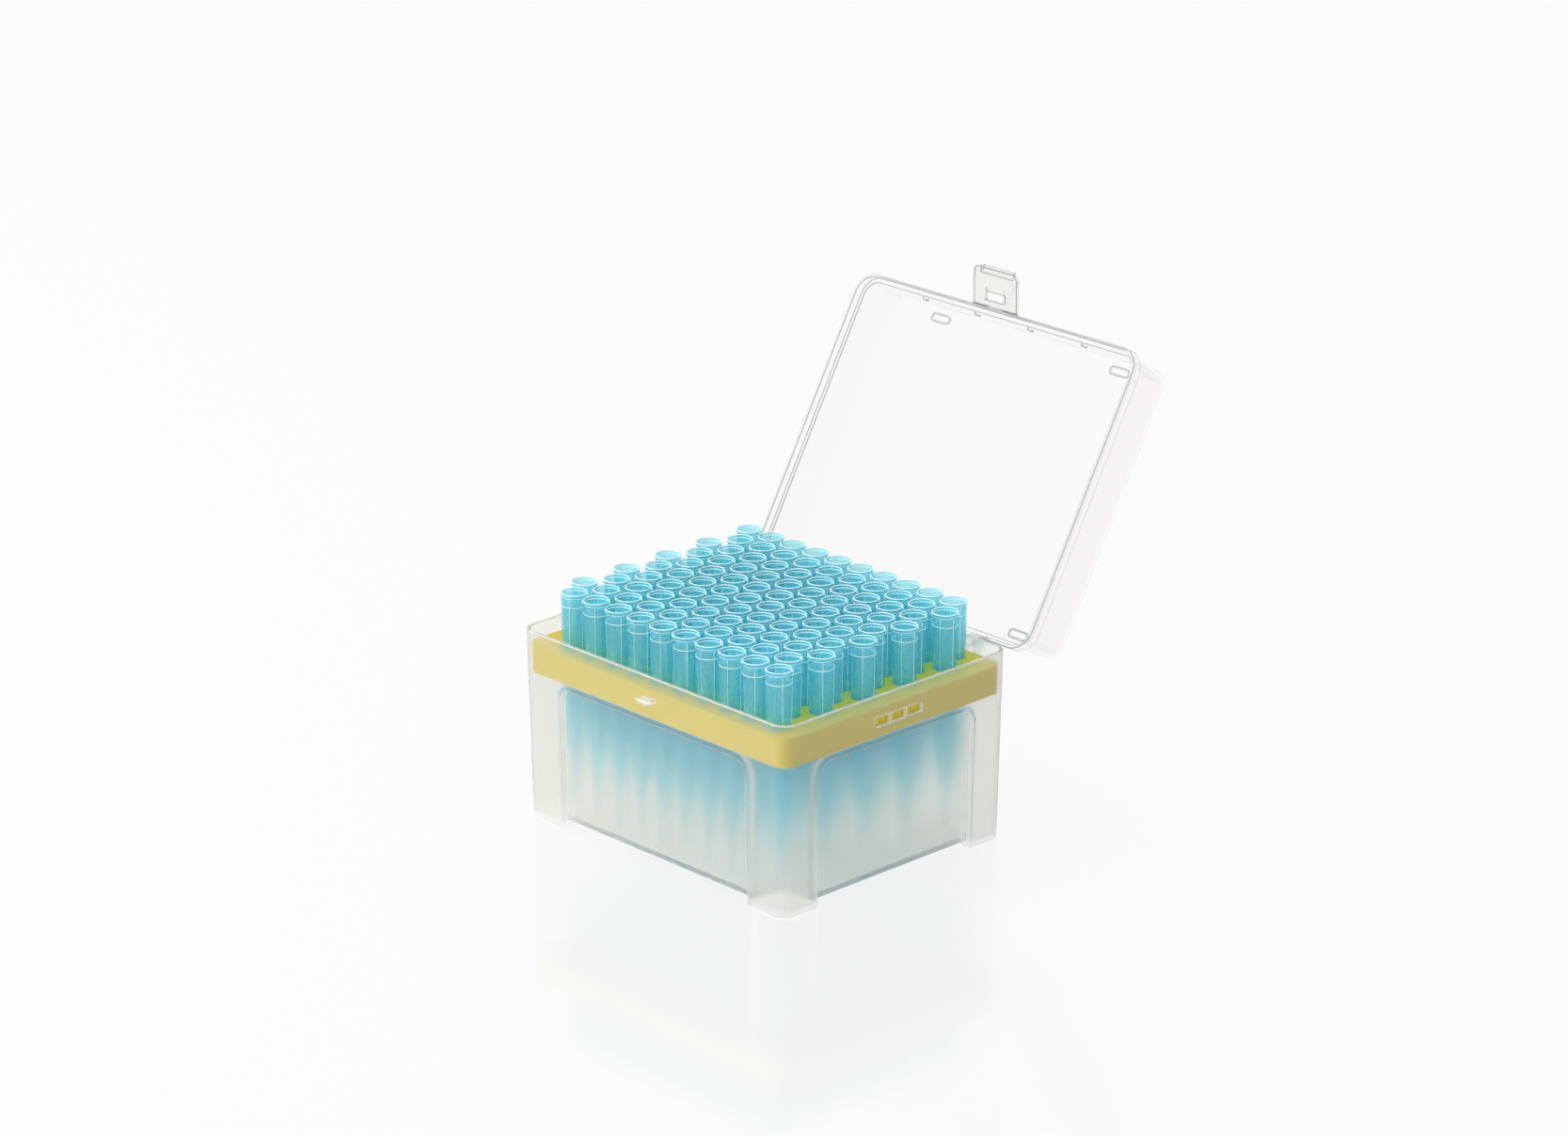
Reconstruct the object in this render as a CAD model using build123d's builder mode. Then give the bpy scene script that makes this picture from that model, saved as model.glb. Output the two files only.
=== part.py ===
from build123d import *
from math import cos, radians, tan
import os

# Box of pipette tips: a frosted base that holds a yellow rack with a hundred tips, and a hinged
# lid with a latch tab, modelled open. Millimetres. X runs along the rows of tips, the hinge is at
# the back (+Y), the latch at the front (-Y), and the feet stand on Z = 0. The pieces are drawn
# round the middle of the base, and moved at the end to the middle of the whole open box.

# ---- driving dimensions -------------------------------------------------------------------
# tips: Z runs down from the rim of a tip
tip_length = 71.7
tip_rim_radius = 4.32
tip_bead_height = 1.3
tip_collar_radius = 4.06
tip_collar_end_radius = 3.86
tip_collar_length = 18.6
tip_tube_radius = 3.42
tip_knee_radius = 3.0
tip_knee_depth = 43.0
tip_nozzle_radius = 0.68
tip_mouth_radius = 3.72
tip_mouth_depth = 4.5
tip_seal_radius = 3.5
tip_wall = 0.45
tip_nozzle_bore_radius = 0.36
tip_pitch = 10.2
tip_row_pitch = tip_pitch * cos(radians(30))
tips_in_row = 10
tip_rows = 10
row_shift = 0.25  # in pitches: rows lie to the right and to the left by turns

# base: it is as large as the tips that it holds and the margins round them
end_margin = 11.25
side_margin = 8.65
tip_floor_gap = 1.8
base_corner = 5.5
least_corner = 0.8
base_wall = 1.3
base_draft = 1.15
foot_height = 1.8
post_width = 17.6
end_post_width = 15.2
panel_recess = 2.3
panel_corner = 5.0
recess_corner = 3.2

# rack
plate_depth = 4.6
plate_thickness = 1.6
rack_height = 9.5
skirt_thickness = 1.2
rack_clearance = 0.35
hole_clearance = 0.2

# windows in the end walls and the rack's teeth behind them
window_count = 3
window_width = 6.1
window_height = 3.0
window_pitch = 6.75
window_drop = 4.1
tooth_width = 2.7
tooth_point_width = 0.5
tooth_height = 2.4
tooth_pitch = 2.8
tooth_depth = 0.9

# latch lug on the front wall, and the latch tab
lug_width = 5.2
lug_depth = 3.3
lug_thickness = 1.5
lug_drop = 6.7
lug_chamfer = 0.35
latch_width = 19.2
latch_length = 14.2
latch_thickness = 1.1
latch_corner = 2.6
latch_lip = 1.4
latch_lip_height = 2.2
latch_splay = 60.0
strap_thickness = 0.6
strap_length = 1.4
strap_slot_width = 7.0
hinge_line_gap = 0.3
eye_side_clearance = 1.2
lug_clearance_above = 0.25
lug_clearance_below = 0.75
ramp_height = 2.1
ramp_depth = 0.7

# lid
lid_wall = 1.1
lid_clearance_x = 0.6
lid_clearance_y = 0.6
lid_seat_gap = 0.15
lid_skirt = 3.0
tip_head_gap = 2.05
lid_draft = 2.0
lid_step = 1.1
lid_edge_radius = 1.4
ridge_length = 8.6
ridge_width = 3.2
ridge_wall = 0.7
ridge_height = 0.8
ridge_end_inset = 20.2
ridge_side_inset = 3.9

# hinge: two sets of ears on the base, with the lid's knuckle and its pin ends between them
open_angle = 120.0
hinge_spacing = 68.0
hinge_back = 3.15
hinge_drop = 3.2
ear_width = 4.0
ear_radius = 2.3
ear_web_drop = 7.0
knuckle_width = 10.9
knuckle_gap = 0.3
knuckle_radius = 1.9
pin_radius = 1.2
pin_clearance = 0.06
pin_end_gap = 0.4
notch_clearance = 0.5
stop_gap = 0.05
stop_height = 3.2
gusset_height = 6.0

# small ribs inside the lid's front wall
rib_count = 4
rib_spacing = 23.3
rib_thickness = 0.7
rib_depth = 0.9
rib_height = 3.0
rib_start = 0.6
rib_root = 0.4

os.makedirs("parts", exist_ok=True)

# ---- sizes that follow --------------------------------------------------------------------
inset_per_mm = tan(radians(base_draft))
floor_top = foot_height + base_wall
tip_rim_height = floor_top + tip_floor_gap + tip_length
plate_top = tip_rim_height - tip_collar_length
shoulder = plate_top - rack_height
panel_top = shoulder - base_wall
base_length = (tips_in_row - 1 + 2 * row_shift) * tip_pitch + 2 * end_margin
base_width = (tip_rows - 1) * tip_row_pitch + 2 * side_margin
base_height = plate_top + plate_depth
window_centre = plate_top - window_drop
lug_top = base_height - lug_drop
panel_width = base_length - 2 * post_width
end_panel_width = base_width - 2 * end_post_width


def half_length(z):
    """Half the base's outer length at height z, on its drafted wall."""
    return base_length / 2 - (base_height - z) * inset_per_mm


def half_width(z):
    """Half the base's outer width at height z, on its drafted wall."""
    return base_width / 2 - (base_height - z) * inset_per_mm


def outline(z, inset):
    """The base's rounded outline at height z, moved inwards by inset."""
    corner = max(base_corner - inset, least_corner)
    return RectangleRounded(2 * (half_length(z) - inset), 2 * (half_width(z) - inset), corner)


# ---- base ---------------------------------------------------------------------------------
hinge_y = base_width / 2 + hinge_back
hinge_z = base_height - hinge_drop
ear_offset = knuckle_width / 2 + knuckle_gap + ear_width / 2
hinge_centres = (-hinge_spacing / 2, hinge_spacing / 2)

# what stands behind the side panels, as a drafted block
with BuildPart() as panel_core:
    with BuildSketch(Plane.XY.offset(base_height)):
        RectangleRounded(base_length - 2 * panel_recess, base_width - 2 * panel_recess, recess_corner)
    extrude(amount=-base_height, taper=base_draft)

with BuildPart() as panel_core_inside:
    with BuildSketch(Plane.XY.offset(base_height)):
        inside_recess = panel_recess + base_wall
        RectangleRounded(base_length - 2 * inside_recess, base_width - 2 * inside_recess, recess_corner)
    extrude(amount=-base_height, taper=base_draft)


def panel_openings(grow, core):
    """The recesses of the four side panels, grown by a wall thickness on the inside."""
    with BuildPart() as cut:
        for plane, width in ((Plane.XZ, panel_width), (Plane.YZ, end_panel_width)):
            with BuildSketch(plane):
                with Locations((0, grow / 2)):
                    RectangleRounded(width + 2 * grow, 2 * panel_top + grow, panel_corner + grow)
            extrude(amount=base_length, both=True)
        add(core, mode=Mode.SUBTRACT)
    return cut.part


outside_recesses = panel_openings(0, panel_core.part)
inside_shoulders = panel_openings(base_wall, panel_core_inside.part)

with BuildPart() as base_block:
    with BuildSketch(Plane.XY.offset(base_height)):
        outline(base_height, 0)
    extrude(amount=-base_height, taper=base_draft)
    add(outside_recesses, mode=Mode.SUBTRACT)
    # the floor is raised between the four feet
    with BuildSketch():
        Rectangle(panel_width, base_width)
        Rectangle(base_length, end_panel_width)
    extrude(amount=foot_height, mode=Mode.SUBTRACT)

with BuildPart() as cavity:
    with BuildSketch(Plane.XY.offset(base_height)):
        outline(base_height, base_wall)
    extrude(amount=base_wall - base_height, taper=base_draft)
    add(inside_shoulders, mode=Mode.SUBTRACT)
    with BuildSketch():
        Rectangle(panel_width + 2 * base_wall, base_width)
        Rectangle(base_length, end_panel_width + 2 * base_wall)
    extrude(amount=floor_top, mode=Mode.SUBTRACT)

# one ear, seen from the end: a ring round the pin on a web that grows out of the back wall
ear_root = half_width(hinge_z) - base_wall / 2
ear_bevel = ear_radius * cos(radians(45))
with BuildSketch(Plane.YZ) as ear_profile:
    with BuildLine():
        Polyline(
            (ear_root, hinge_z - ear_web_drop),
            (hinge_y + ear_bevel, hinge_z - ear_bevel),
            (hinge_y, hinge_z + ear_radius),
            (ear_root, hinge_z + ear_radius),
            close=True,
        )
    make_face()
    with Locations((hinge_y, hinge_z)):
        Circle(ear_radius)
        Circle(pin_radius + pin_clearance, mode=Mode.SUBTRACT)

with BuildPart() as base_fittings:
    for centre in hinge_centres:
        for side in (-1, 1):
            ear_start = centre + side * ear_offset - ear_width / 2
            with BuildSketch(Plane.YZ.offset(ear_start)):
                add(ear_profile.sketch_local)
            extrude(amount=ear_width)
    # the latch lug: a short shelf on the front wall
    with BuildSketch(Plane.XY.offset(lug_top - lug_thickness)):
        lug_root = half_width(lug_top) - base_wall / 2
        lug_reach = half_width(lug_top) + lug_depth
        with Locations((0, -(lug_root + lug_reach) / 2)):
            Rectangle(lug_width, lug_reach - lug_root)
    extrude(amount=lug_thickness)
    lug_nose = base_fittings.edges().filter_by(Axis.X).group_by(Axis.Y)[0]
    chamfer(lug_nose, lug_chamfer)

with BuildPart() as base:
    add(base_block.part)
    add(cavity.part, mode=Mode.SUBTRACT)
    add(base_fittings.part)
    # windows in the end walls
    with BuildSketch(Plane.YZ):
        with Locations((0, window_centre)):
            with GridLocations(window_pitch, window_height, window_count, 1):
                Rectangle(window_width, window_height)
    extrude(amount=base_length, both=True, mode=Mode.SUBTRACT)

base.part.label = "base"

# ---- rack ---------------------------------------------------------------------------------
tip_spots = [
    ((i - (tips_in_row - 1) / 2 + shift) * tip_pitch, (row - (tip_rows - 1) / 2) * tip_row_pitch)
    for row in range(tip_rows)
    for shift in (-row_shift if row % 2 else row_shift,)
    for i in range(tips_in_row)
]

with BuildPart() as rack_plate:
    with BuildSketch(Plane.XY.offset(plate_top)):
        outline(plate_top, base_wall + rack_clearance)
    extrude(amount=shoulder - plate_top, taper=base_draft)
    with BuildSketch(Plane.XY.offset(plate_top - plate_thickness)):
        outline(plate_top - plate_thickness, base_wall + rack_clearance + skirt_thickness)
    extrude(amount=shoulder - plate_top, taper=base_draft, mode=Mode.SUBTRACT)
    with BuildSketch(Plane.XY.offset(plate_top)):
        with Locations(*tip_spots):
            Circle(tip_tube_radius + hole_clearance)
    extrude(amount=-plate_thickness, mode=Mode.SUBTRACT)

# the teeth: small pointed wedges on the skirt's ends, two behind each window
tooth_foot = half_length(window_centre) - base_wall - rack_clearance
tooth_end = tooth_foot + tooth_depth
with BuildPart() as teeth:
    for side in (-1, 1):
        with BuildSketch(Plane.XZ):
            with BuildLine():
                Polyline(
                    (side * (tooth_foot - skirt_thickness / 2), window_centre - tooth_height / 2),
                    (side * tooth_end, window_centre - tooth_height / 4),
                    (side * tooth_end, window_centre + tooth_height / 2),
                    (side * (tooth_foot - skirt_thickness / 2), window_centre + tooth_height / 2),
                    close=True,
                )
            make_face()
        extrude(amount=tooth_width / 2, both=True)
    # seen from above each tooth narrows to a blunt point
    with BuildSketch(Plane.XY.offset(window_centre)):
        with BuildLine():
            Polyline(
                (tooth_end, tooth_point_width / 2),
                (tooth_foot, tooth_width / 2),
                (-tooth_foot, tooth_width / 2),
                (-tooth_end, tooth_point_width / 2),
                (-tooth_end, -tooth_point_width / 2),
                (-tooth_foot, -tooth_width / 2),
                (tooth_foot, -tooth_width / 2),
                (tooth_end, -tooth_point_width / 2),
                close=True,
            )
        make_face()
    extrude(amount=tooth_height, both=True, mode=Mode.INTERSECT)

with BuildPart() as rack:
    add(rack_plate.part)
    with GridLocations(1, window_pitch, 1, window_count):
        with GridLocations(1, tooth_pitch, 1, 2):
            add(teeth.part)

rack.part.label = "rack"

# ---- tips ---------------------------------------------------------------------------------
with BuildPart() as tip:
    with BuildSketch(Plane.XZ):
        with BuildLine():
            Polyline(
                (tip_mouth_radius, 0),
                (tip_rim_radius, 0),
                (tip_rim_radius, -tip_bead_height),
                (tip_collar_radius, -tip_bead_height),
                (tip_collar_end_radius, -tip_collar_length),
                (tip_tube_radius, -tip_collar_length),
                (tip_knee_radius, -tip_knee_depth),
                (tip_nozzle_radius, -tip_length),
                (tip_nozzle_bore_radius, -tip_length),
                (tip_knee_radius - tip_wall, -tip_knee_depth),
                (tip_tube_radius - tip_wall, -tip_collar_length),
                (tip_seal_radius, -tip_mouth_depth),
                (tip_mouth_radius, -tip_mouth_depth),
                close=True,
            )
        make_face()
    revolve(axis=Axis.Z)

rows = []
for row in range(tip_rows):
    first = row * tips_in_row
    with BuildPart() as tip_row:
        with Locations(*[(x, y, tip_rim_height) for x, y in tip_spots[first : first + tips_in_row]]):
            add(tip.part)
    tip_row.part.label = f"tips_row_{row + 1:02d}"
    rows.append(tip_row)

# ---- lid, in its own closed place and then swung open about the hinge ----------------------
swung = Location((0, hinge_y, hinge_z), (-open_angle, 0, 0)) * Location((0, -hinge_y, -hinge_z))

ledge_level = base_height + lid_seat_gap
rim_level = ledge_level - lid_skirt
skirt_length = base_length + 2 * (lid_clearance_x + lid_wall)
skirt_width = base_width + 2 * (lid_clearance_y + lid_wall)
skirt_corner = base_corner + lid_clearance_x + lid_wall
body_length = skirt_length - 2 * lid_step
body_width = skirt_width - 2 * lid_step
body_corner = skirt_corner - lid_step
lid_top = tip_rim_height + tip_head_gap + lid_wall
lid_height = lid_top - ledge_level
ridge_spacing_x = base_length - 2 * ridge_end_inset
ridge_spacing_y = base_width - 2 * ridge_side_inset
latch_y = latch_thickness / 2 - skirt_width / 2
strap_level = rim_level - strap_length / 2
strap_width = (latch_width - strap_slot_width) / 2
strap_spacing = strap_slot_width + strap_width


def lid_plane(height):
    """A level plane of the closed lid, in its open place."""
    return Plane(swung * Location((0, 0, height)))


def lid_side(x):
    """The lid's own side view at a place along the hinge, in its open place."""
    return Plane(swung * Location((x, 0, 0)) * Plane.YZ.location)


lid_up = Axis(lid_plane(0).origin, lid_plane(0).z_dir)

with BuildPart() as lid:
    with BuildSketch(lid_plane(ledge_level)):
        RectangleRounded(body_length, body_width, body_corner)
    extrude(amount=lid_height, taper=lid_draft)
    fillet(lid.faces().sort_by(lid_up)[-1].edges(), lid_edge_radius)
    with BuildSketch(lid_plane(rim_level)):
        RectangleRounded(skirt_length, skirt_width, skirt_corner)
    extrude(amount=lid_skirt + lid_wall)
    # four stacking ridges, each a low rounded ring
    with BuildSketch(lid_plane(lid_top - lid_wall / 2)):
        with GridLocations(ridge_spacing_x, ridge_spacing_y, 2, 2):
            SlotOverall(ridge_length, ridge_width)
    extrude(amount=ridge_height + lid_wall / 2)
    with BuildSketch(lid_plane(lid_top)):
        with GridLocations(ridge_spacing_x, ridge_spacing_y, 2, 2):
            SlotOverall(ridge_length - 2 * ridge_wall, ridge_width - 2 * ridge_wall)
    extrude(amount=ridge_height, mode=Mode.SUBTRACT)
    # inside of the skirt and of the body
    with BuildSketch(lid_plane(rim_level)):
        RectangleRounded(skirt_length - 2 * lid_wall, skirt_width - 2 * lid_wall, skirt_corner - lid_wall)
    extrude(amount=lid_skirt, mode=Mode.SUBTRACT)
    with BuildSketch(lid_plane(ledge_level)):
        RectangleRounded(body_length - 2 * lid_wall, body_width - 2 * lid_wall, body_corner - lid_wall)
    extrude(amount=lid_height - lid_wall, taper=lid_draft, mode=Mode.SUBTRACT)
    # small ribs inside the front wall, just above the ledge
    front_inside = body_width / 2 - lid_wall
    with BuildSketch(lid_plane(ledge_level + rib_start)):
        with GridLocations(rib_spacing, 1, rib_count, 1):
            with Locations((0, rib_depth / 2 - front_inside - rib_root / 2)):
                Rectangle(rib_thickness, rib_depth + rib_root)
    extrude(amount=rib_height)
    # the skirt is cut away round the hinge ears
    notch_width = 2 * (ear_offset + ear_width / 2 + notch_clearance)
    with BuildSketch(lid_plane(rim_level)):
        with Locations((0, skirt_width / 2)):
            with GridLocations(hinge_spacing, 1, 2, 1):
                Rectangle(notch_width, 2 * lid_wall + lid_step)
    extrude(amount=lid_skirt, mode=Mode.SUBTRACT)
    # knuckles, with the pin ends moulded on
    for centre in hinge_centres:
        with BuildSketch(lid_side(centre - knuckle_width / 2)):
            with BuildLine():
                Polyline(
                    (hinge_y - knuckle_radius, hinge_z),
                    (hinge_y - knuckle_radius, ledge_level + lid_wall / 2),
                    (body_width / 2 - lid_wall / 2, ledge_level + gusset_height),
                    (hinge_y + knuckle_radius, hinge_z),
                    close=True,
                )
            make_face()
            with Locations((hinge_y, hinge_z)):
                Circle(knuckle_radius)
        extrude(amount=knuckle_width)
        # the paddle that meets the back wall when the lid is open
        with BuildSketch(Plane.YZ.offset(centre - knuckle_width / 2)):
            stop_foot = hinge_z - stop_height
            with BuildLine():
                Polyline(
                    (half_width(hinge_z) + stop_gap, hinge_z),
                    (half_width(stop_foot) + stop_gap, stop_foot),
                    (hinge_y, stop_foot),
                    (hinge_y, hinge_z),
                    close=True,
                )
            make_face()
        extrude(amount=knuckle_width)
        pin_length = knuckle_width + 2 * (knuckle_gap + ear_width - pin_end_gap)
        with BuildSketch(Plane.YZ.offset(centre - pin_length / 2)):
            with Locations((hinge_y, hinge_z)):
                Circle(pin_radius)
        extrude(amount=pin_length)
    # the lid's half of the latch's two thin straps
    with BuildSketch(lid_plane(strap_level + hinge_line_gap)):
        with Locations((0, latch_y)):
            with GridLocations(strap_spacing, 1, 2, 1):
                Rectangle(strap_width, strap_thickness)
    extrude(amount=rim_level + lid_wall / 2 - strap_level - hinge_line_gap)

lid.part.label = "lid"

# ---- latch tab: hangs from the lid's front rim, and stands splayed when nothing holds it ----
splayed = (
    swung
    * Location((0, latch_y, strap_level), (-latch_splay, 0, 0))
    * Location((0, -latch_y, -strap_level))
)


def latch_front(y):
    """An upright plane facing the front, at depth y, in the tab's splayed place."""
    return Plane(splayed * Location((0, y, 0)) * Plane.XZ.location)


latch_side = Plane(splayed * Plane.YZ.location)
latch_outside = latch_y - latch_thickness / 2
latch_inside = latch_y + latch_thickness / 2
latch_head = rim_level - strap_length
latch_foot = rim_level - latch_length
eye_top = lug_top + lug_clearance_above
eye_bottom = lug_top - lug_thickness - lug_clearance_below
eye_width = lug_width + 2 * eye_side_clearance

with BuildPart() as latch:
    with BuildSketch(latch_front(latch_inside)):
        with BuildLine():
            FilletPolyline(
                (-latch_width / 2, latch_head),
                (-latch_width / 2, latch_foot),
                (latch_width / 2, latch_foot),
                (latch_width / 2, latch_head),
                radius=latch_corner,
            )
            Line((latch_width / 2, latch_head), (-latch_width / 2, latch_head))
        make_face()
    extrude(amount=latch_thickness)
    # the straps' lower half
    with BuildSketch(latch_front(latch_y + strap_thickness / 2)):
        with Locations((0, (strap_level - hinge_line_gap + latch_head) / 2)):
            with GridLocations(strap_spacing, 1, 2, 1):
                Rectangle(strap_width, strap_level - hinge_line_gap - latch_head)
    extrude(amount=strap_thickness)
    # the finger lip along the free end
    with BuildSketch(latch_side):
        with BuildLine():
            Polyline(
                (latch_outside, latch_foot),
                (latch_outside - latch_lip, latch_foot),
                (latch_outside - latch_lip, latch_foot + latch_lip_height / 2),
                (latch_outside, latch_foot + latch_lip_height),
                close=True,
            )
        make_face()
    extrude(amount=latch_width / 2 - latch_corner, both=True)
    # the eye that the lug comes through
    with BuildSketch(latch_front(latch_inside)):
        with Locations((0, (eye_top + eye_bottom) / 2)):
            Rectangle(eye_width, eye_top - eye_bottom)
    extrude(amount=latch_thickness, mode=Mode.SUBTRACT)
    # the ramp that leads the lug into the eye
    with BuildSketch(latch_side):
        with BuildLine():
            Polyline(
                (latch_inside, eye_bottom - ramp_height),
                (latch_inside, eye_bottom),
                (latch_inside - ramp_depth, eye_bottom),
                close=True,
            )
        make_face()
    extrude(amount=eye_width / 2, both=True, mode=Mode.SUBTRACT)

latch.part.label = "latch"

# ---- the origin lies on the ground, under the middle of the whole open box -----------------
pieces = [base, rack, *rows, lid, latch]
front = min(piece.part.bounding_box().min.Y for piece in pieces)
back = max(piece.part.bounding_box().max.Y for piece in pieces)
for piece in pieces:
    piece.part.move(Location((0, -(front + back) / 2, 0)))
    export_step(piece.part, f"parts/{piece.part.label}.step")
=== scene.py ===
from math import cos, pi, radians, sin

import bmesh
import bpy
import numpy as np
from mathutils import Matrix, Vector


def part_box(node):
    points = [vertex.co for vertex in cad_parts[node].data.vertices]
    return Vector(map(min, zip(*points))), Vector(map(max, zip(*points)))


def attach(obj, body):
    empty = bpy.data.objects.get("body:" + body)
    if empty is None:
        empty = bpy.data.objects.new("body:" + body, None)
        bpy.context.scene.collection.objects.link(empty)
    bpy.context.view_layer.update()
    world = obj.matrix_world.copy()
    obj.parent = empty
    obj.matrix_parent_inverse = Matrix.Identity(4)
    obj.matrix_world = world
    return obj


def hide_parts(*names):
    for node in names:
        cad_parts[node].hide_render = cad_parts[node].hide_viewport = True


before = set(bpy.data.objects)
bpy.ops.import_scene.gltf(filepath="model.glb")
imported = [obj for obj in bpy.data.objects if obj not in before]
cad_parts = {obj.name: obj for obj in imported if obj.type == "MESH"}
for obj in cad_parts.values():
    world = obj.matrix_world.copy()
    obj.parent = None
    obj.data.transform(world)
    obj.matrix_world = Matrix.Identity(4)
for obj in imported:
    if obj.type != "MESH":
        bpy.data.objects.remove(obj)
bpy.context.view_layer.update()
mm = 0.001

# ---- Base ---------------------------------------------------------------------------------
# One moulding of frosted polypropylene that carries everything else: open at the top, on four
# corner feet. Light goes through its 1.3 mm wall and is scattered on the way, so that what lies
# behind shows softer the further off it is. The mould leaves a small round on every edge.
merge_distance, flat_turn = 0.004 * mm, radians(0.2)
base_edge_round = 0.2 * mm
frosted_white = (0.965, 0.955, 0.91, 1)
frosted_edge = (0.89, 0.90, 0.88, 1)
# painted light on the edge rounds: a light line, grey where it is seen edge-on
frosted_edge_highlight = (0.96, 0.965, 0.955, 1)
frosted_edge_shade = (0.72, 0.78, 0.76, 1)
frosted_light_through = (0.96, 0.97, 0.965, 1)


def placed(name, data):
    """A new object in the scene that shows a mesh, a lamp or a camera."""
    thing = bpy.data.objects.new(name, data)
    bpy.context.scene.collection.objects.link(thing)
    return thing


def moulded_copy(node, name, edge_round, *materials, sharp_from=28, inner_edges=True):
    """A merged copy of a CAD node's mesh. Every edge that turns more than sharp_from degrees is rounded
    off, or only those that stand out. The rounds take the last of the materials, the rest takes the
    first. Each corner's normal leans to its largest face, so that flat walls stay flat to light."""
    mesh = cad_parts[node].data.copy()
    mesh.materials.clear()
    solid = bmesh.new()
    solid.from_mesh(mesh)
    bmesh.ops.remove_doubles(solid, verts=solid.verts, dist=merge_distance)
    bmesh.ops.dissolve_limit(solid, angle_limit=flat_turn, verts=solid.verts, edges=solid.edges)
    for face in solid.faces:
        face.smooth = True
    weight = solid.edges.layers.float.new("bevel_weight_edge")
    for edge in solid.edges:
        turns = edge.calc_face_angle(0) > radians(sharp_from)
        edge[weight] = float(turns and (inner_edges or edge.is_convex))
        edge.smooth = not turns or edge[weight] > 0
    solid.to_mesh(mesh)
    solid.free()
    for material in materials:
        mesh.materials.append(material)
    piece = placed(name, mesh)
    rounding = piece.modifiers.new("moulded edges", "BEVEL")
    rounding.width = edge_round
    rounding.segments = 2
    rounding.limit_method = "WEIGHT"
    # the clamp would hold every round down to what the shortest edge allows
    rounding.use_clamp_overlap = False
    rounding.harden_normals = True
    rounding.material = len(materials) - 1
    flat = piece.modifiers.new("flat faces stay flat", "WEIGHTED_NORMAL")
    flat.keep_sharp = True
    flat.weight = 100
    return piece


bump_height, patches_per_metre, edge_on_blend = 0.05 * mm, 35, 0.35


def shader_node(tree, kind, inputs=(), **settings):
    """A new node with its settings and its inputs. An input is a socket's name or number, with the value
    that it is set to or the output that it is linked to."""
    node = tree.nodes.new(f"ShaderNode{kind}")
    for setting, value in settings.items():
        setattr(node, setting, value)
    for socket, given in dict(inputs).items():
        if isinstance(given, bpy.types.NodeSocket):
            tree.links.new(given, node.inputs[socket])
        else:
            node.inputs[socket].default_value = given
    return node


def maths(tree, operation, *inputs, **settings):
    """The output of a new Math node, whose inputs are values or the outputs that they are linked to."""
    return shader_node(tree, "Math", enumerate(inputs), operation=operation, **settings).outputs[0]


def mixed_colours(tree, share, first, second):
    """The output of a new Mix node: the first colour, with a share of the second in its place."""
    return shader_node(tree, "Mix", {0: share, 6: first, 7: second}, data_type="RGBA").outputs[2]


def mixed_shaders(tree, share, first, second):
    """A new Mix Shader node: the first shader node, with a share of the second in its place."""
    return shader_node(tree, "MixShader", {0: share, 1: first.outputs[0], 2: second.outputs[0]})


def grain_group():
    """The fine tooth of moulded plastic: a colour that varies by a hair, a roughness and a bumped normal."""
    group = bpy.data.node_groups.new("moulded grain", "ShaderNodeTree")
    face = group.interface
    face.new_socket("Colour", in_out="INPUT", socket_type="NodeSocketColor")
    for socket, value in (("Grain size", 0.4), ("Colour drift", 0.02), ("Roughness", 0.3),
                          ("Roughness drift", 0.05), ("Bump", 0.1)):
        face.new_socket(socket, in_out="INPUT", socket_type="NodeSocketFloat").default_value = value
    face.new_socket("Colour", in_out="OUTPUT", socket_type="NodeSocketColor")
    face.new_socket("Roughness", in_out="OUTPUT", socket_type="NodeSocketFloat")
    face.new_socket("Normal", in_out="OUTPUT", socket_type="NodeSocketVector")
    given, made = group.nodes.new("NodeGroupInput").outputs, group.nodes.new("NodeGroupOutput").inputs
    place = shader_node(group, "TexCoord").outputs["Object"]
    grains_per_metre = maths(group, "DIVIDE", 1 / mm, given["Grain size"])
    fine, broad = (shader_node(group, "TexNoise", {"Vector": place, "Scale": scale, "Detail": detail})
                   for scale, detail in ((grains_per_metre, 3), (patches_per_metre, 2)))
    # colour: lighter and darker by half the drift, in broad soft patches
    start = maths(group, "MULTIPLY_ADD", given["Colour drift"], -0.5, 1)
    drift = maths(group, "MULTIPLY_ADD", broad.outputs["Fac"], given["Colour drift"], start)
    tinted = shader_node(group, "VectorMath", {0: given["Colour"], "Scale": drift}, operation="SCALE")
    group.links.new(tinted.outputs[0], made["Colour"])
    # roughness: the fine noise about its middle
    about = maths(group, "SUBTRACT", fine.outputs["Fac"], 0.5)
    rough = maths(group, "MULTIPLY_ADD", about, given["Roughness drift"], given["Roughness"])
    group.links.new(rough, made["Roughness"])
    bump = shader_node(group, "Bump", {"Height": fine.outputs["Fac"], "Strength": given["Bump"],
                                       "Distance": bump_height})
    group.links.new(bump.outputs["Normal"], made["Normal"])
    return group


moulded_grain = grain_group()


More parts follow.
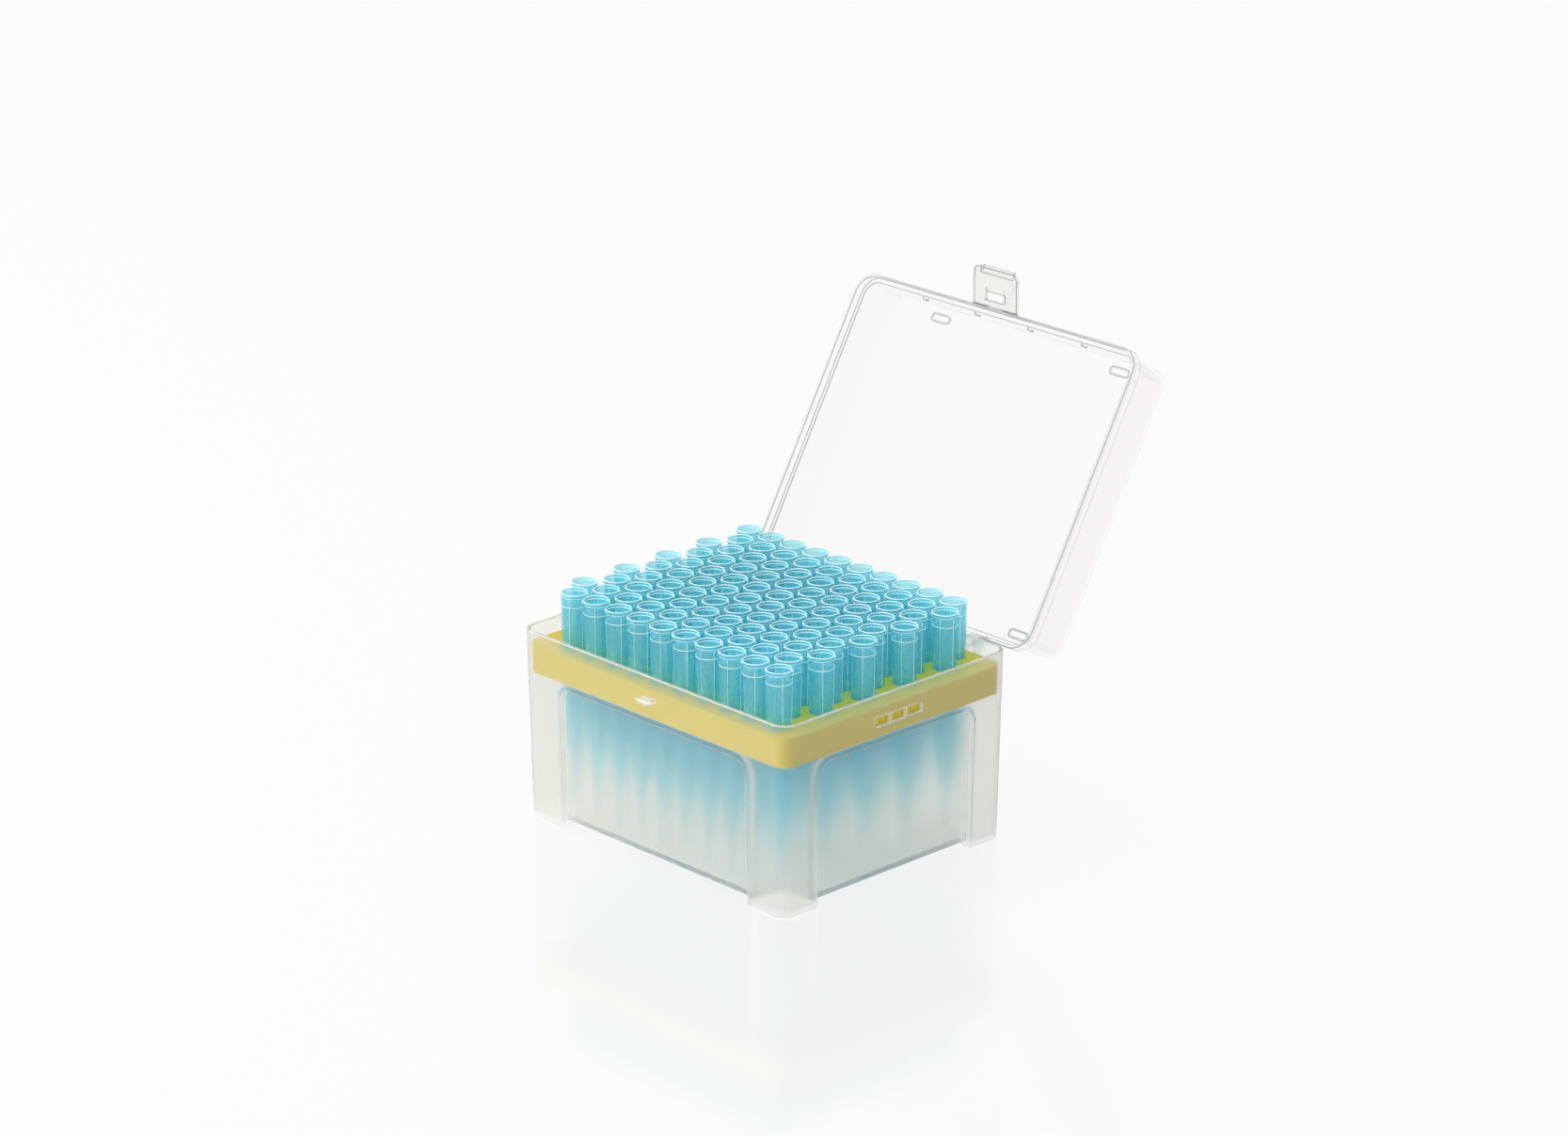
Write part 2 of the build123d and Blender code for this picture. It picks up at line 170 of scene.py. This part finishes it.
def plastic(name, face_colour, edge_colour, transmission, ior, light_through=None, straight=0.0, **grain):
    """A moulded plastic. Its colour turns to edge_colour where the wall is seen edge-on, because there is
    more of it to look through. Soft light and lamps reach what is behind it, tinted by light_through, and
    so does straight, the share of sight that a thin clear wall lets through unbent."""
    material = bpy.data.materials.new(name)
    material.use_nodes = True
    tree = material.node_tree
    surface = tree.nodes["Principled BSDF"]
    surface.inputs["Transmission Weight"].default_value = transmission
    surface.inputs["IOR"].default_value = ior
    facing = shader_node(tree, "LayerWeight", {"Blend": edge_on_blend}).outputs["Facing"]
    colour = mixed_colours(tree, facing, face_colour, edge_colour)
    grained = shader_node(tree, "Group", {"Colour": colour}, node_tree=moulded_grain)
    for socket, value in grain.items():
        grained.inputs[socket.replace("_", " ").capitalize()].default_value = value
    for made, socket in (("Colour", "Base Color"), ("Roughness", "Roughness"), ("Normal", "Normal")):
        tree.links.new(grained.outputs[made], surface.inputs[socket])
    if light_through:
        unbent = shader_node(tree, "BsdfTransparent", {"Color": light_through}, name="unbent light")
        path = shader_node(tree, "LightPath")
        soft = maths(tree, "MAXIMUM", path.outputs["Is Shadow Ray"], path.outputs["Is Diffuse Ray"])
        share = maths(tree, "MAXIMUM", soft, straight, name="unbent share")
        mix = mixed_shaders(tree, share, surface, unbent)
        tree.links.new(mix.outputs[0], tree.nodes["Material Output"].inputs["Surface"])
    return material


def finish_piece(piece, body, slot_name, *nodes):
    """Hangs a piece on its body and hides the CAD nodes that it stands for. Its slot_name is not used."""
    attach(piece, body)
    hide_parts(*nodes)


frosted = plastic("frosted polypropylene", frosted_white, frosted_edge, transmission=0.95, ior=1.3,
                  light_through=frosted_light_through, roughness=0.38, roughness_drift=0.08, bump=0.08,
                  grain_size=0.5)
# the rounds are painted as light lines with a grey side: painted highlight and shade along every edge
frosted_painted_edges = plastic("frosted polypropylene, painted edge lines", frosted_edge_highlight, frosted_edge_shade,
                         transmission=0.4, ior=1.45, light_through=frosted_light_through, roughness=0.25,
                         roughness_drift=0.05, bump=0.05, grain_size=0.5)
base = moulded_copy("base", "frosted_base", base_edge_round, frosted, frosted_painted_edges)
finish_piece(base, "base_body", "frosted_plastic", "base")

# ---- Rack ---------------------------------------------------------------------------------
# One moulding of yellow polypropylene: the plate that the tips hang in, its skirt, and the small
# teeth that look out of the end windows. It stands on the shoulders inside the base. Its edges
# are rounded very little, because its teeth are small.
rack_edge_round = 0.04 * mm
rack_yellow = (0.66, 0.52, 0.03, 1)
rack_yellow_edge = (0.61, 0.46, 0.025, 1)
yellow = plastic("yellow polypropylene", rack_yellow, rack_yellow_edge, transmission=0.0, ior=1.45,
                 roughness=0.38, roughness_drift=0.1, bump=0.12, grain_size=0.4, colour_drift=0.05)
rack = moulded_copy("rack", "yellow_rack", rack_edge_round, yellow)
finish_piece(rack, "base_body", "yellow_plastic", "rack")

# ---- Tips ---------------------------------------------------------------------------------
# A hundred thin tips, each one moulding of blue polypropylene: a collar with a rolled rim, a ring
# mark and fine upright ribs, then a long cone that thins and pales down to its nozzle; the paling is
# partly the thinner wall and partly painted light, which lifts the dim lower tips. Bands on the rim,
# the ring mark and the long ribs are painted white as a highlight that glows. Each hangs by its
# collar on the rack's plate, and was put in turned as it came.
tip_rows, tips_in_row = 10, 10
rim_radius, mouth_radius = 4.32 * mm, 3.72 * mm
rim_steps, highlight_rim_steps = 9, (1, 2, 5, 6)
bead_height, bead_round, bead_slope, step_round = 1.3 * mm, 0.25 * mm, 0.08 * mm, 0.1 * mm
bead_lip, bead_foot = 0.06 * mm, 0.03 * mm
collar_radius, collar_end_radius, collar_length = 4.06 * mm, 3.86 * mm, 18.6 * mm
tube_radius, knee_radius, knee_depth = 3.42 * mm, 3.0 * mm, 43.0 * mm
nozzle_radius, nozzle_bore_radius = 0.68 * mm, 0.36 * mm
seal_radius, mouth_depth, tip_wall = 3.5 * mm, 4.5 * mm, 0.45 * mm
collar_end_step = 0.05 * mm
ring_depth, ring_height, ring_half_width, ring_flat = 4.2 * mm, 0.06 * mm, 0.09 * mm, 0.4
rib_count, rib_height, rib_half_angle, steps_between_ribs = 12, 0.07 * mm, radians(1.3), 2
long_rib_top, short_rib_top, rib_bottom, hair = 1.5 * mm, 4.5 * mm, 18.3 * mm, 0.01 * mm
golden_angle = radians(137.5)
tip_blue = (0.38, 0.86, 0.96, 1)
tip_blue_edge = (0.12, 0.68, 0.90, 1)
blue_light_through, blue_straight = (0.73, 0.935, 0.975, 1), 0.62
# the pale ends: partly the thinner wall, partly painted light
pale_blue, pale_light_through, pale_straight = (0.75, 0.95, 0.98, 1), (0.96, 0.985, 0.99, 1), 0.92
paling_from, paling_to = 42 * mm, 12 * mm
# the painted white highlight on the tips' rim bands, ring marks and long ribs
rim_highlight, rim_highlight_side = (0.97, 1.0, 1.0, 1), (0.80, 0.95, 0.98, 1)
rim_highlight_light_through, rim_painted_glow = (0.80, 0.95, 0.97, 1), 0.22


def tip_profile(length):
    """The tip's closed section: over the rolled rim, down the outside with its ring mark, round the nozzle
    and back up the inside. The rim is half a circle, with two rings of painted white highlight, and the
    rest is straight runs. Each row is a radius, a depth below the rim, and 1 if the band from here to the
    next point carries the painted highlight."""
    roll = (rim_radius - mouth_radius) / 2
    turn = np.linspace(pi, 0, rim_steps)
    rim = np.c_[mouth_radius + roll + roll * np.cos(turn), roll - roll * np.sin(turn),
                np.isin(np.arange(rim_steps), highlight_rim_steps)]
    under = [(rim_radius, bead_height - bead_round, 1),
             (rim_radius - bead_slope, bead_height - bead_lip, 1),
             (collar_radius + bead_foot, bead_height, 0),
             (collar_radius, bead_height + step_round, 0),
             (collar_radius, long_rib_top + step_round, 0)]
    ring = [(collar_radius + step * ring_height, ring_depth + side * ring_half_width, side < 1)
            for side, step in ((-1, 0), (-ring_flat, 1), (ring_flat, 1), (1, 0))]
    outside = [(collar_radius, short_rib_top + step_round, 0),
               ((collar_radius + collar_end_radius) / 2, (short_rib_top + rib_bottom) / 2, 0),
               (collar_end_radius, rib_bottom, 0),
               (collar_end_radius - collar_end_step, collar_length, 0),
               (tube_radius, collar_length, 0),
               (knee_radius, knee_depth, 0),
               (nozzle_radius, length - step_round, 0),
               (nozzle_radius - bead_slope, length, 0)]
    inside = [(nozzle_bore_radius, length, 0),
              (knee_radius - tip_wall, knee_depth, 0),
              (tube_radius - tip_wall, collar_length, 0),
              (seal_radius, mouth_depth, 1),
              (mouth_radius, mouth_depth, 0)]
    return np.vstack([rim, under, ring, outside, inside])


def turned_rows(profile, centres, rim_level, first_turn):
    """The profile turned round an upright axis at each centre. The angles stand close together at the ribs,
    whose middle stands out by rib_height, and evenly between them; every second rib starts lower. Each tip
    is turned on from the last by the golden angle. Returns the points, the faces, and which faces carry the
    painted highlight: the marked bands, and one flank of each long rib."""
    period = 2 * pi / rib_count
    between = np.linspace(rib_half_angle, period - rib_half_angle, steps_between_ribs + 2)[1:-1]
    steps = np.r_[-rib_half_angle, 0, rib_half_angle, between]
    angle = (np.arange(rib_count)[:, None] * period + steps).ravel()
    rib, step = np.divmod(np.arange(len(angle)), len(steps))
    radius, depth, on_highlight = profile[:, :1], profile[:, 1:2], profile[:, 2:] > 0
    rib_top = np.where(rib % 2, short_rib_top, long_rib_top)
    ribbed = (radius > collar_end_radius - hair) & (depth > rib_top) & (depth < rib_bottom + hair)
    r = radius + ribbed * (step == 1) * rib_height
    turn = angle + (golden_angle * (first_turn + np.arange(len(centres))))[:, None, None]
    x = centres[:, 0, None, None] + r * np.cos(turn)
    y = centres[:, 1, None, None] + r * np.sin(turn)
    points = np.stack([x, y, np.broadcast_to(rim_level - depth, x.shape)], axis=-1).reshape(-1, 3)
    n, k = len(profile), len(angle)
    i, j = np.meshgrid(np.arange(n), np.arange(k), indexing="ij")
    i2, j2 = (i + 1) % n, (j + 1) % k
    quads = np.stack([i * k + j, i2 * k + j, i2 * k + j2, i * k + j2], axis=-1).reshape(-1, 4)
    # edge marks the faces of the painted highlight: the marked bands and one flank of each long rib
    edge = on_highlight | (ribbed & np.roll(ribbed, -1, axis=0) & (step == 0) & (rib % 2 == 0))
    faces = (quads[None] + (np.arange(len(centres)) * n * k)[:, None, None]).reshape(-1, 4)
    return points, faces, np.tile(edge.ravel(), len(centres))


def mesh_piece(name, points, faces, *materials):
    """A smooth-shaded mesh object from arrays of points and quads."""
    mesh = bpy.data.meshes.new(name)
    mesh.from_pydata(points.tolist(), [], faces.tolist())
    mesh.shade_smooth()
    for material in materials:
        mesh.materials.append(material)
    return placed(name, mesh)


def pale_downwards(material):
    """Lets the blue pale and more sight go straight through, in step with the height, from paling_from
    down to paling_to. This is partly the thinner wall and partly painted light that lightens the lower
    tips, where the inside of the box is dim."""
    tree = material.node_tree
    place = shader_node(tree, "TexCoord").outputs["Object"]
    height = shader_node(tree, "SeparateXYZ", {0: place}).outputs["Z"]
    levels = {"Value": height, "From Min": paling_from, "From Max": paling_to}
    thinning_and_painted_light = shader_node(tree, "MapRange", {**levels, "To Min": 0, "To Max": 1}).outputs[0]
    straight = shader_node(tree, "MapRange", {**levels, "To Min": blue_straight, "To Max": pale_straight})
    tree.links.new(straight.outputs[0], tree.nodes["unbent share"].inputs[1])
    colour = tree.nodes["Principled BSDF"].inputs["Base Color"]
    through = tree.nodes["unbent light"].inputs["Color"]
    for socket, full, pale in ((colour, colour.links[0].from_socket, pale_blue),
                               (through, blue_light_through, pale_light_through)):
        tree.links.new(mixed_colours(tree, thinning_and_painted_light, full, pale), socket)


blue_grain = {"roughness_drift": 0.04, "bump": 0.03, "grain_size": 0.8}
blue = plastic("blue polypropylene", tip_blue, tip_blue_edge, transmission=0.52, ior=1.3,
               straight=blue_straight, light_through=blue_light_through, roughness=0.06, **blue_grain)
# the wall thins towards the nozzle, and the paling also paints light on the dim lower tips
pale_downwards(blue)
# the tips' painted highlight: white, nearly opaque bands on the rims, ring marks and long ribs
blue_highlight = plastic("blue polypropylene, painted highlight", rim_highlight, rim_highlight_side, transmission=0.15,
                    ior=1.4, straight=0.1, light_through=rim_highlight_light_through, roughness=0.12, **blue_grain)
# the highlight bands also glow a little: a painted glint, though no lamp is there
blue_highlight_surface = blue_highlight.node_tree.nodes["Principled BSDF"]
blue_highlight_surface.inputs["Emission Color"].default_value = rim_highlight
blue_highlight_surface.inputs["Emission Strength"].default_value = rim_painted_glow
for row in range(1, tip_rows + 1):
    node = f"tips_row_{row:02d}"
    low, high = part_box(node)
    across = np.linspace(low.x + rim_radius, high.x - rim_radius, tips_in_row)
    centres = np.c_[across, np.full(tips_in_row, (low.y + high.y) / 2)]
    points, faces, edge = turned_rows(tip_profile(high.z - low.z), centres, high.z, row * tips_in_row)
    tips = mesh_piece(f"blue_tips_row_{row:02d}", points, faces, blue, blue_highlight)
    # the faces of the painted highlight take its material
    tips.data.polygons.foreach_set("material_index", edge.astype(np.int32))
    finish_piece(tips, "base_body", "blue_plastic", node)

# ---- Lid ----------------------------------------------------------------------------------
# Clear polypropylene in one moulding: a shallow tray with a stepped-out rim, four low stacking
# rings on its top, and two knuckles with pin ends that snap into the base's ears.
lid_edge_round = 0.3 * mm
lid_clear, lid_clear_edge = (0.985, 0.975, 0.973, 1), (0.94, 0.935, 0.92, 1)
# painted shade: the lid's rounded outer edges are drawn as grey lines
lid_edge_shade, lid_edge_shade_side = (0.50, 0.52, 0.53, 1), (0.36, 0.38, 0.39, 1)
lid_light_through, edge_shade_light_through = (0.985, 0.978, 0.977, 1), (0.97, 0.97, 0.97, 1)
clear_grain = {"roughness_drift": 0.04, "bump": 0.03, "grain_size": 1.2}
clear = plastic("clear polypropylene", lid_clear, lid_clear_edge, transmission=0.95, ior=1.2, straight=0.88,
                light_through=lid_light_through, roughness=0.12, **clear_grain)
clear_painted_edge_shade = plastic("clear polypropylene, painted edge shade", lid_edge_shade, lid_edge_shade_side, transmission=0.1,
                       ior=1.42, light_through=edge_shade_light_through, roughness=0.12, **clear_grain)
lid = moulded_copy("lid", "clear_lid", lid_edge_round, clear, clear_painted_edge_shade, inner_edges=False)
finish_piece(lid, "lid_body", "clear_plastic", "lid")

# ---- Latch tab ----------------------------------------------------------------------------
# The tab at the lid's front edge, moulded with the lid and thinned to two straps where it bends.
# Its eye goes over the base's lug, and a finger lifts it by the lip on its free end.
latch_edge_round = 0.18 * mm
latch_clear, latch_clear_edge = (0.93, 0.92, 0.90, 1), (0.86, 0.85, 0.84, 1)
# painted shade: the tab's rounded edges are drawn as dark grey lines
latch_edge_shade, latch_edge_shade_side = (0.30, 0.31, 0.32, 1), (0.12, 0.12, 0.13, 1)
latch_light_through = (0.93, 0.925, 0.91, 1)
clear_tab = plastic("clear polypropylene, latch tab", latch_clear, latch_clear_edge, transmission=0.9,
                    ior=1.2, straight=0.7, light_through=latch_light_through, roughness=0.15, **clear_grain)
latch_painted_edge_shade = plastic("clear polypropylene, latch painted edge shade", latch_edge_shade, latch_edge_shade_side, transmission=0.1,
                       ior=1.42, light_through=edge_shade_light_through, roughness=0.12, **clear_grain)
latch = moulded_copy("latch", "latch_tab", latch_edge_round, clear_tab, latch_painted_edge_shade)
finish_piece(latch, "latch_body", "clear_plastic", "latch")

# ---- Floor, light and camera --------------------------------------------------------------
# A white floor with a faint reflection, a soft sky that is brighter at the left, one large soft
# lamp, and a long lens that looks down at the near corner.
floor_half = 3.0
floor_white_share = 0.93
# painted shade: seen through walls and in mirrors, the floor darkens towards +X
floor_through_share, floor_painted_shade_lean = 1.1, 6.0
floor_mirror_share, floor_gloss_roughness = 0.14, 0.12
floor_grey, floor_roughness = 0.75, 0.5
# a sky is its middle strength, its lean and the direction that it is brightest in
lighting_sky = (0.80, 0.68, (-0.5, -0.8, 0.33))
mirrored_sky = (0.88, 0.35, (-1.0, -0.13, 0.0))


def seen(tree, *ways):
    """A mask that is 1 for the named rays: Camera, Glossy for mirrored, Transmission for seen through."""
    path, mask = shader_node(tree, "LightPath"), 0
    for way in ways:
        mask = maths(tree, "MAXIMUM", mask, path.outputs[f"Is {way} Ray"])
    return mask


def stage_floor():
    """A wide white floor: it keeps a little of the shadow and mirrors the object faintly. In mirrors and
    through walls its whiteness falls off to the right, by floor_painted_shade_lean for each metre: painted
    shade that darkens the box's right side."""
    mesh = bpy.data.meshes.new("floor")
    corners = [(x * floor_half, y * floor_half, 0) for x, y in ((-1, -1), (1, -1), (1, 1), (-1, 1))]
    mesh.from_pydata(corners, [], [(0, 1, 2, 3)])
    floor = placed("floor", mesh)
    material = bpy.data.materials.new("white floor")
    material.use_nodes = True
    tree = material.node_tree
    surface = tree.nodes["Principled BSDF"]
    surface.inputs["Base Color"].default_value = (floor_grey, floor_grey, floor_grey, 1)
    surface.inputs["Roughness"].default_value = floor_roughness
    white = shader_node(tree, "Emission")
    mirror = shader_node(tree, "BsdfAnisotropic", {"Roughness": floor_gloss_roughness})
    mirrored = maths(tree, "MULTIPLY", seen(tree, "Camera"), floor_mirror_share)
    shine = mixed_shaders(tree, mirrored, white, mirror)
    place = shader_node(tree, "NewGeometry").outputs["Position"]
    across = shader_node(tree, "SeparateXYZ", {0: place}).outputs["X"]
    painted_shade_leaning = maths(tree, "MULTIPLY_ADD", across, -floor_painted_shade_lean, floor_through_share, use_clamp=True)
    through = maths(tree, "MULTIPLY", seen(tree, "Glossy", "Transmission"), painted_shade_leaning)
    share = maths(tree, "MULTIPLY_ADD", seen(tree, "Camera"), floor_white_share, through)
    mix = mixed_shaders(tree, share, surface, shine)
    tree.links.new(mix.outputs[0], tree.nodes["Material Output"].inputs["Surface"])
    mesh.materials.append(material)


def sky_level(tree, middle_strength, lean, brightest):
    """A strength for each direction: the middle one, plus the lean times the cosine of the angle between
    the direction and the brightest one."""
    direction = shader_node(tree, "TexCoord").outputs["Generated"]
    towards = {0: direction, 1: Vector(brightest).normalized()}
    facing = shader_node(tree, "VectorMath", towards, operation="DOT_PRODUCT").outputs["Value"]
    return maths(tree, "MULTIPLY_ADD", facing, lean, middle_strength)


def soft_sky(lighting, mirrored):
    """A world that is plain white where it is seen. It lights by one sky, and shows another in mirrors
    and through walls."""
    world = bpy.data.worlds.new("soft sky")
    world.use_nodes = True
    bpy.context.scene.world = world
    tree = world.node_tree
    light = tree.nodes["Background"]
    tree.links.new(sky_level(tree, *lighting), light.inputs["Strength"])
    through = shader_node(tree, "Background", {"Strength": sky_level(tree, *mirrored)})
    white = shader_node(tree, "Background")
    for background in (light, through, white):
        background.inputs["Color"].default_value = (1, 1, 1, 1)
    beyond_walls = mixed_shaders(tree, seen(tree, "Glossy", "Transmission"), light, through)
    everywhere = mixed_shaders(tree, seen(tree, "Camera"), beyond_walls, white)
    tree.links.new(everywhere.outputs[0], tree.nodes["World Output"].inputs["Surface"])


def soft_lamp(name, place, aim, size, power):
    """A large square soft lamp at place, turned towards aim."""
    light = bpy.data.lights.new(name, "AREA")
    light.shape = "SQUARE"
    light.size = size
    light.energy = power
    lamp = placed(name, light)
    lamp.location = place
    lamp.rotation_euler = (Vector(aim) - Vector(place)).to_track_quat("-Z", "Y").to_euler()


stage_floor()
soft_sky(lighting_sky, mirrored_sky)
soft_lamp("key", place=(-0.55, -0.75, 0.85), aim=(0, 0, 0.06), size=0.6, power=4.5)

# the camera stands 1.6 m from its aim, which is told from the rack's middle and the floor
camera_azimuth, camera_elevation, camera_distance = radians(46.19), radians(20.0), 1.5975
aim_from_rack_middle = Vector((-13.67, 21.89, 76.6)) * mm
rack_low, rack_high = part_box("rack")
camera_aim = Vector((0, (rack_low.y + rack_high.y) / 2, 0)) + aim_from_rack_middle
sight = Vector((sin(camera_azimuth) * cos(camera_elevation), -cos(camera_azimuth) * cos(camera_elevation),
                sin(camera_elevation)))
camera_data = bpy.data.cameras.new("camera")
camera_data.sensor_width = 36
camera_data.lens = 116.8
camera_data.clip_start = 0.01
camera = placed("camera", camera_data)
camera.location = camera_aim + sight * camera_distance
camera.rotation_euler = (-sight).to_track_quat("-Z", "Y").to_euler()
bpy.context.scene.camera = camera
bpy.context.scene.view_settings.view_transform = "Standard"
# light crosses many thin walls before it comes out
wall_crossings = 24
light_paths = bpy.context.scene.cycles
light_paths.max_bounces = light_paths.transmission_bounces = wall_crossings
light_paths.transparent_max_bounces = wall_crossings
